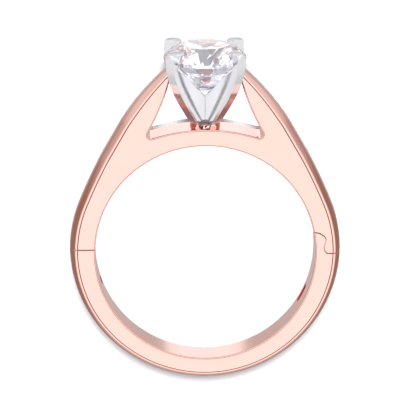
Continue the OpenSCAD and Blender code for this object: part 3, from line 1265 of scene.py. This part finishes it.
@dataclass
class Head:
    """The white gold peg head: four prongs with claws on crossed webs.

    The leg is the prong's outer line, and the claw goes on from it, over the stone's edge and back. Their
    points, like those of the web's side, are a distance from the head's axis and a height.
    """

    rest: Rest
    finish: bpy.types.Material
    prong_finish: bpy.types.Material
    prong_w: float = 0.83
    prong_t: float = 0.42
    prong_r: float = 3.9
    prong_count: int = 4
    foot_r: float = 1.2
    foot_y: float = 10.1
    foot_sine: float = 0.8
    leg_step: float = 0.3
    claw_step: float = 0.07
    notch: Point = (0.12, 0.08)
    claw_rise: float = 0.35
    claw_h: float = 0.45
    claw_tip_r: float = 2.64
    claw_columns: int = 8
    claw_swell: float = 0.08
    bead: float = 0.13
    bead_lean: float = 0.3
    almond_len: float = 0.5
    almond_spare: float = 0.05
    prong_round: float = 0.1
    prong_steps: int = 4
    leg_weight: float = 0.5
    crease: float = 0.5
    web_t: float = 0.45
    web_round: float = 0.04
    web_steps: int = 2
    web_sharp_a: float = 40.0
    web_side: tuple[Point, ...] = ((2.6, 12.32), (3.2, 13.45), (3.56, 14.5), (3.66, 15.08))
    web_play: float = 0.1
    web_under: float = 0.3
    girdle_y: float = 15.08
    culet_y: float = 12.175
    stone_r: float = 3.25
    smooth_a: float = 35.0
    leg: tuple[Point, ...] = (
        (1.2, 10.1), (2.01, 11.17), (2.82, 12.32), (3.42, 13.45), (3.77, 14.5), (3.88, 15.2), (3.9, 15.55),
    )
    claw: tuple[Point, ...] = (
        (3.9, 15.55), (3.93, 15.8), (3.94, 15.93), (3.87, 16.01), (3.62, 16.09), (3.3, 16.13), (3.0, 16.11),
        (2.8, 16.03), (2.68, 15.92), (2.63, 15.8), (2.69, 15.69), (2.84, 15.6), (3.06, 15.5), (3.36, 15.2),
    )

    def profile(self) -> list[Vector]:
        """The prong's side view.

        Returns:
            The outer line, the claw over the stone's edge, and the inner line back to the foot.
        """
        outer = polyline(self.leg, self.leg_step)
        last = len(outer) - 1
        ways = [(outer[min(i + 1, last)] - outer[max(i - 1, 0)]).normalized() for i in range(last + 1)]
        inner = [p - self.prong_t * Vector((d.y, -d.x)) for p, d in zip(outer, ways)]
        inner[0] = Vector((self.foot_r - self.prong_t / self.foot_sine, self.foot_y))
        inner = [p for p in inner if p.y < self.girdle_y - self.notch[0]]
        inner.append(Vector((self.prong_r - self.prong_t, self.girdle_y - self.notch[1])))
        return outer + polyline(self.claw, self.claw_step) + list(reversed(inner))

    def prong(self) -> bpy.types.Object:
        """One prong along +x in the head's own frame, where y is the height.

        Returns:
            The prong with its beaded claw.
        """
        half = self.prong_w / 2
        claw_y = self.girdle_y + self.claw_rise
        obj = plate("prong", self.profile(), -half, half)

        def across_claw(edge: bmesh.types.BMEdge) -> bool:
            """Whether an edge runs through the width of the claw."""
            first, last = (vertex.co for vertex in edge.verts)
            return abs(first.z - last.z) > half and first.y > claw_y

        split_edges(obj, across_claw, self.claw_columns - 1)
        mesh = bmesh.new()
        mesh.from_mesh(obj.data)
        layer = mesh.edges.layers.float.new("bevel_weight_edge")
        for edge in mesh.edges:
            on_face = all(abs(abs(vertex.co.z) - half) < SAME for vertex in edge.verts)
            if on_face and edge.calc_face_angle(0) > self.crease:
                low = min(vertex.co.y for vertex in edge.verts)
                edge[layer] = 1.0 if low > claw_y else self.leg_weight
        for vertex in mesh.verts:
            if vertex.co.y > claw_y - self.almond_spare:
                vertex.co = self.beaded(vertex.co, half)
        mesh.to_mesh(obj.data)
        mesh.free()
        round_edges(obj, self.prong_round, self.prong_steps, Edges.WEIGHED)
        return obj

    def beaded(self, co: Vector, half: float) -> Vector:
        """Where a vertex of the claw goes as its end is rounded to an almond bead.

        Args:
            co: the vertex's place.
            half: half the prong's width.

        Returns:
            The new place.
        """
        part = co.z / half
        rise = min(1.0, max(0.0, (co.y - self.girdle_y - self.claw_rise) / self.claw_h))
        low = self.bead * rise * part**2
        width = 1 + self.claw_swell * rise
        almond_r = self.prong_r - self.almond_len
        if co.x < almond_r:
            share = (almond_r - co.x) / (almond_r - self.claw_tip_r + self.almond_spare)
            width *= math.sqrt(max(0.0, 1 - share**2))
        return Vector((co.x - self.bead_lean * low, co.y - low, co.z * width))

    def webs(self) -> bpy.types.Object:
        """The two crossed webs between the prongs.

        Returns:
            Both webs as one mesh.
        """
        right = [
            Vector((self.foot_r - self.prong_t / 2, self.foot_y)),
            *(Vector(point) for point in self.web_side),
            Vector((self.stone_r + self.web_play, self.girdle_y)),
        ]
        foot, notch = Vector((0, self.foot_y)), Vector((0, self.culet_y - self.web_under))
        outline = [foot, *right, notch, *mirrored(reversed(right))]
        webs, other = (plate("crossed_webs", outline, -self.web_t / 2, self.web_t / 2) for _ in range(2))
        other.data.transform(Matrix.Rotation(math.radians(90), 4, "Y"))
        work(webs, other, Action.JOIN)
        bpy.ops.object.mode_set(mode="EDIT")
        bpy.ops.mesh.select_all(action="SELECT")
        bpy.ops.mesh.remove_doubles(threshold=1e-3)
        bpy.ops.mesh.dissolve_limited(angle_limit=math.radians(1))
        bpy.ops.object.mode_set(mode="OBJECT")
        webs.data.transform(Matrix.Rotation(math.radians(45), 4, "Y"))
        round_edges(webs, self.web_round, self.web_steps, sharp_a=self.web_sharp_a)
        return webs

    def build(self) -> list[bpy.types.Object]:
        """Builds and dresses the head's pieces.

        Returns:
            The pieces.
        """
        tie = Tie(Body.UPPER, "head", Slot.WHITE)
        first = self.prong()
        pieces = []
        for i in range(self.prong_count):
            prong = bpy.data.objects.new(f"prong_{i + 1}", first.data.copy())
            bpy.context.scene.collection.objects.link(prong)
            prong.data.transform(Matrix.Rotation(math.radians(45 + 360 / self.prong_count * i), 4, "Y"))
            pieces.append(prong)
        bpy.data.objects.remove(first, do_unlink=True)
        webs = self.webs()
        for prong in pieces:
            dress(prong, self.prong_finish, self.smooth_a, self.rest, tie)
        dress(webs, self.finish, self.smooth_a, self.rest, tie)
        return [*pieces, webs]


@dataclass
class Brilliant:
    """The round brilliant, cut facet by facet from a turned blank."""

    rest: Rest
    finish: bpy.types.Material
    radius: float = 3.25
    girdle_y: float = 15.08
    girdle_t: float = 0.2
    table_share: float = 0.57
    star_share: float = 0.52
    keel_share: float = 0.77
    crown_a: float = 34.5
    pavilion_a: float = 40.8
    turn_a: float = 11.25
    blank_spare: float = 0.5
    smooth_a: float = 8.0

    def __post_init__(self) -> None:
        """Works out the radius and the height of each ring of corners."""
        crown, pavilion = math.tan(math.radians(self.crown_a)), math.tan(math.radians(self.pavilion_a))
        flat = math.cos(math.radians(HALF_EIGHTH_A))
        self.top = self.girdle_y + self.girdle_t / 2
        self.under = self.girdle_y - self.girdle_t / 2
        self.table_r = self.radius * self.table_share
        self.table_y = self.top + (self.radius - self.table_r) * crown
        self.culet_y = self.under - self.radius * pavilion
        flat_r = self.table_r * flat
        self.star_r = flat_r + self.star_share * (self.radius - flat_r)
        self.star_y = self.top + (self.radius - self.star_r * flat) * crown
        self.keel_r = self.radius * (1 - self.keel_share)
        self.keel_y = self.under - (self.radius - self.keel_r * flat) * pavilion

    def corner(self, r: float, y: float, angle: float) -> Vector:
        """A facet's corner, from its radius, its height and its angle round the stone in degrees."""
        flat = unit(angle + self.turn_a) * r
        return Vector((flat.x, y, flat.y))

    def facet(self, obj: bpy.types.Object, point: Vector, normal: Vector) -> None:
        """Grinds one flat facet.

        Args:
            obj: the stone.
            point: a point of the facet's plane.
            normal: the plane's outward normal.
        """
        activate(obj)
        bpy.ops.object.mode_set(mode="EDIT")
        bpy.ops.mesh.select_all(action="SELECT")
        bpy.ops.mesh.bisect(
            plane_co=point, plane_no=normal, use_fill=True, clear_outer=True, threshold=SAME / 10
        )
        bpy.ops.object.mode_set(mode="OBJECT")

    def grind(self, obj: bpy.types.Object, p: Vector, q: Vector, r: Vector) -> None:
        """Grinds the facet through three corners.

        Args:
            obj: the stone.
            p: first corner.
            q: second corner.
            r: third corner.
        """
        normal = (q - p).cross(r - p).normalized()
        middle = Vector((0, (self.top + self.under) / 2, 0))
        if normal.dot(p - middle) < 0:
            normal.negate()
        self.facet(obj, p, normal)

    def build(self) -> bpy.types.Object:
        """Cuts and dresses the stone: its table, then an eighth of its other facets at a time.

        Returns:
            The stone.
        """
        low = Vector((0, self.culet_y - self.blank_spare, 0))
        high = Vector((0, self.table_y + self.blank_spare, 0))
        girdle_r = self.radius * math.cos(math.radians(QUARTER_EIGHTH_A))
        obj = cylinder("round_brilliant", girdle_r, low, high, WIDE_SIDES)
        self.facet(obj, Vector((0, self.table_y, 0)), Vector((0, 1, 0)))
        for i in range(8):
            a = EIGHTH_A * i
            mid_a = a + HALF_EIGHTH_A
            table = self.corner(self.table_r, self.table_y, a)
            star = self.corner(self.star_r, self.star_y, mid_a)
            keel = self.corner(self.keel_r, self.keel_y, mid_a)
            self.grind(obj, table, star, self.corner(self.star_r, self.star_y, a - HALF_EIGHTH_A))
            self.grind(obj, table, self.corner(self.table_r, self.table_y, a + EIGHTH_A), star)
            for k in (0, 1):
                first, last = a + HALF_EIGHTH_A * k, a + HALF_EIGHTH_A * (k + 1)
                for tip, y in ((star, self.top), (keel, self.under)):
                    ends = (self.corner(self.radius, y, angle) for angle in (first, last))
                    self.grind(obj, tip, *ends)
            last_keel = self.corner(self.keel_r, self.keel_y, a - HALF_EIGHTH_A)
            self.grind(obj, Vector((0, self.culet_y, 0)), keel, last_keel)
        dress(obj, self.finish, self.smooth_a, self.rest, Tie(Body.UPPER, "stone", Slot.STONE))
        return obj


@dataclass
class HingePin:
    """The plain hinge pin with lightly rounded ends."""

    rest: Rest
    finish: bpy.types.Material
    sizes: ShankSizes = field(default_factory=ShankSizes)
    length: float = 2.14
    end_round: float = 0.04
    end_steps: int = 2
    smooth_a: float = 35.0

    def build(self) -> bpy.types.Object:
        """Builds and dresses the pin.

        Returns:
            The pin.
        """
        low, high = (Vector((*self.sizes.hinge, z)) for z in (-self.length / 2, self.length / 2))
        obj = cylinder("hinge_pin_white_gold", self.sizes.pin_r, low, high, THIN_SIDES)
        round_edges(obj, self.end_round, self.end_steps)
        dress(obj, self.finish, self.smooth_a, self.rest, Tie(Body.UPPER, "hinge_pin", Slot.WHITE))
        return obj


@dataclass
class Studio:
    """The paper floor, the light tent with its two lamps, and the camera.

    A stop of tent or patch is an angle in degrees from face_way or under_way, a colour and an alpha. A stop
    of ends is the direction's y, a colour and an alpha. The light is strength times as bright as its colours.
    """

    rest: Rest
    px_mm: float = 0.07713
    distance_px: float = 4000
    aim_px: Point = (205.0, 248.0)
    azimuth: float = -1.4
    elevation: float = 15.45
    floor_m: float = 1.2
    strength: float = 1.5
    low_z: Point = (0.05, -0.12)
    sun: float = 2.9
    sun_a: float = 14.0
    sun_place: tuple[float, float, float] = (0, 0.10, 0.25)
    spot_w: float = 6.0
    spot_a: float = 4.1
    spot_blend: float = 0.3
    spot_soft_m: float = 0.004
    spot_place: tuple[float, float, float] = (0, 0.004, 0.35)
    spot_target: tuple[float, float, float] = (0, 0.004, 0)
    mirror_bounces: int = 20
    stone_bounces: int = 24
    face_way: Vector = field(default_factory=lambda: Vector((0.02, -0.22, 0.975)))
    under_way: Vector = field(default_factory=lambda: Vector((0.02, 0.337, -0.939)))
    tent: tuple[Stop, ...] = (
        (0, (0.94, 0.94, 0.94), 1), (16, (0.94, 0.94, 0.94), 1), (19, (0.03, 0.027, 0.027), 1),
        (31, (0.03, 0.027, 0.027), 1), (34, (0.22, 0.19, 0.18), 1), (42, (0.34, 0.30, 0.29), 1),
        (49, (0.9, 0.9, 0.9), 1), (80, (0.9, 0.9, 0.9), 1),
        (87, (0.64, 0.64, 0.64), 1), (100, (0.5, 0.48, 0.47), 1), (112, (0.22, 0.16, 0.13), 1),
        (180, (0.24, 0.16, 0.13), 1),
    )
    ends: tuple[Stop, ...] = (
        (-1.0, (0.42, 0.42, 0.42), 1), (-0.66, (0.42, 0.42, 0.42), 1), (-0.5, (0.42, 0.42, 0.42), 0),
        (0.12, (0.6, 0.6, 0.6), 0), (0.4, (0.6, 0.6, 0.6), 1), (1.0, (0.6, 0.6, 0.6), 1),
    )
    patch: tuple[Stop, ...] = (
        (0, (0.83, 0.83, 0.83), 1), (9, (0.83, 0.83, 0.83), 1), (13, (0.42, 0.41, 0.40), 1),
        (30, (0.40, 0.38, 0.37), 1), (42, (0.40, 0.38, 0.37), 0), (180, (0.0, 0.0, 0.0), 0),
    )

    def camera(self) -> None:
        """Sets the camera at the photo's angle to the ring."""
        az, el = math.radians(self.azimuth), math.radians(self.elevation)
        back = Vector((math.sin(az) * math.cos(el), math.sin(el), math.cos(az) * math.cos(el)))
        right = Vector((math.cos(az), 0, -math.sin(az)))
        up = back.cross(right)
        across, along = ((IMAGE_PX / 2 - px) * self.px_mm for px in self.aim_px)
        aim = right * across - up * along
        place = Matrix((right, up, back)).transposed().to_4x4()
        place.translation = aim + back * (self.distance_px * self.px_mm)
        data = bpy.data.cameras.new("camera")
        data.sensor_width = SENSOR_MM
        data.lens = SENSOR_MM * self.distance_px / IMAGE_PX
        data.clip_start = 0.01
        data.clip_end = 10
        camera = bpy.data.objects.new("camera", data)
        bpy.context.scene.collection.objects.link(camera)
        turn = self.rest.matrix.to_quaternion().to_matrix().to_4x4()
        spot = self.rest.matrix @ place.translation
        camera.matrix_world = Matrix.Translation(spot) @ turn @ place.to_quaternion().to_matrix().to_4x4()
        bpy.context.scene.camera = camera

    def floor(self) -> None:
        """Adds the pale floor the ring lies on."""
        deselect_all()
        bpy.ops.mesh.primitive_plane_add(size=self.floor_m)
        floor = bpy.context.active_object
        floor.name = "floor"
        floor.data.materials.append(WhitePaper().make())
        floor.visible_glossy = False

    def sky(self) -> None:
        """Surrounds the ring with a light tent.

        The tent is bright where the front faces mirror it and has a dark rim round that, which draws the dark
        lines along the rounded edges. It is bright again beyond, and falls to a warm brown below, which the
        outer face shows.
        """
        world = bpy.data.worlds.new("studio")
        bpy.context.scene.world = world
        world.use_nodes = True
        nodes = Nodes(world.node_tree)
        way = nodes.add("ShaderNodeTexCoord").outputs["Generated"]
        tent = self.around(nodes, way, self.face_way, self.tent)
        under = self.around(nodes, way, self.under_way, self.patch)
        parts = nodes.add("ShaderNodeSeparateXYZ", {"Vector": way})
        low = nodes.add(
            "ShaderNodeMapRange",
            {"Value": parts.outputs["Z"], "From Min": self.low_z[0], "From Max": self.low_z[1]},
        )
        share = nodes.add(
            "ShaderNodeMapRange", {"Value": parts.outputs["Y"], "From Min": -1.0, "From Max": 1.0}
        )
        turned = [((y + 1) / 2, colour, alpha) for y, colour, alpha in self.ends]
        ends = self.ramp(nodes, share.outputs["Result"], turned)
        lit = nodes.add(
            "ShaderNodeMath", {0: low.outputs["Result"], 1: ends.outputs["Alpha"]}, operation="MULTIPLY"
        )
        sides = nodes.add(
            "ShaderNodeMix",
            {"Factor": lit.outputs["Value"], "A": tent.outputs["Color"], "B": ends.outputs["Color"]},
            data_type="RGBA",
        )
        both = nodes.add(
            "ShaderNodeMix",
            {"Factor": under.outputs["Alpha"], "A": sides.outputs["Result"], "B": under.outputs["Color"]},
            data_type="RGBA",
        )
        back = nodes.add(
            "ShaderNodeBackground", {"Color": both.outputs["Result"], "Strength": self.strength}
        )
        nodes.add("ShaderNodeOutputWorld", {"Surface": back.outputs["Background"]})

    def lamps(self) -> None:
        """Lights the paper: a soft lamp casts the shadow, and a narrow one whitens the hole and windows."""
        lamp = bpy.data.lights.new("soft_lamp", "SUN")
        lamp.energy = self.sun
        lamp.angle = math.radians(self.sun_a)
        self.hang(lamp, Vector(self.sun_place), Vector((0, 0, 0)))
        spot = bpy.data.lights.new("inner_spot", "SPOT")
        spot.energy = self.spot_w
        spot.spot_size = math.radians(self.spot_a)
        spot.spot_blend = self.spot_blend
        spot.shadow_soft_size = self.spot_soft_m
        self.hang(spot, Vector(self.spot_place), Vector(self.spot_target))

    def hang(self, lamp: bpy.types.Light, place: Vector, target: Vector) -> None:
        """Hangs a lamp that lights the paper but isn't mirrored in the metal.

        Args:
            lamp: the lamp.
            place: where it hangs.
            target: where it points.
        """
        obj = bpy.data.objects.new(lamp.name, lamp)
        obj.location = place
        obj.rotation_euler = (target - place).to_track_quat("-Z", "Y").to_euler()
        obj.visible_glossy = False
        obj.visible_transmission = False
        bpy.context.scene.collection.objects.link(obj)

    def around(
        self, nodes: Nodes, way: bpy.types.NodeSocket, pole: Vector, stops: Sequence[Stop]
    ) -> bpy.types.Node:
        """A ramp of light by the angle from one direction.

        Args:
            nodes: the world's nodes.
            way: the direction looked at.
            pole: the direction the angles are counted from.
            stops: the stops, by their angle in degrees.

        Returns:
            The ramp node.
        """
        dot = nodes.add("ShaderNodeVectorMath", {0: way, 1: pole.normalized()}, operation="DOT_PRODUCT")
        share = nodes.add(
            "ShaderNodeMapRange", {"Value": dot.outputs["Value"], "From Min": -1.0, "From Max": 1.0}
        )
        turned = [
            ((math.cos(math.radians(angle)) + 1) / 2, colour, alpha)
            for angle, colour, alpha in reversed(stops)
        ]
        return self.ramp(nodes, share.outputs["Result"], turned)

    def ramp(self, nodes: Nodes, share: bpy.types.NodeSocket, stops: Sequence[Stop]) -> bpy.types.Node:
        """A colour ramp with the given stops.

        Args:
            nodes: the world's nodes.
            share: the value looked up, from 0 to 1.
            stops: place, colour and alpha of each stop, in rising order.

        Returns:
            The ramp node.
        """
        ramp = nodes.add("ShaderNodeValToRGB", {"Fac": share})
        while len(ramp.color_ramp.elements) < len(stops):
            ramp.color_ramp.elements.new(0.5)
        for element, (place, colour, alpha) in zip(ramp.color_ramp.elements, stops):
            element.position = place
            element.color = (*colour, alpha)
        return ramp

    def build(self) -> None:
        """Builds the whole studio, with enough bounces for the mirror finish and the stone."""
        self.camera()
        self.floor()
        self.sky()
        self.lamps()
        scene = bpy.context.scene
        scene.view_settings.view_transform = "Standard"
        scene.view_settings.look = "None"
        scene.cycles.max_bounces = self.stone_bounces
        scene.cycles.glossy_bounces = self.mirror_bounces
        scene.cycles.transmission_bounces = self.stone_bounces


def main() -> None:
    """Builds the studio and every piece, in order."""
    logging.basicConfig(level=logging.INFO, format="%(name)s: %(message)s")
    rest = Rest.from_record(frame["record"])
    Studio(rest).build()
    rose = PolishedGold("polished_rose_gold", "F6C7BD", "F4C2B7").make()
    white = PolishedGold("polished_white_gold", "E4E4E6", "DEDEE1", roughness=0.1, metallic=0.92).make()
    # The prongs' white gold gets painted shade, a darker colour in narrow inner corners.
    prongs = PolishedGold(
        "white_gold_with_painted_corner_shade", "E0E0E2", "DADADD", roughness=0.1, metallic=0.92, shade_reach_mm=0.2
    ).make()
    pieces = Shank(rest, rose).build()
    pieces += Head(rest, white, prongs).build()
    pieces.append(HingePin(rest, white).build())
    pieces.append(Brilliant(rest, Diamond().make()).build())
    for piece in pieces:
        LOG.info("%s: %d faces", piece.name, len(piece.data.polygons))


if __name__ == "__main__":
    main()
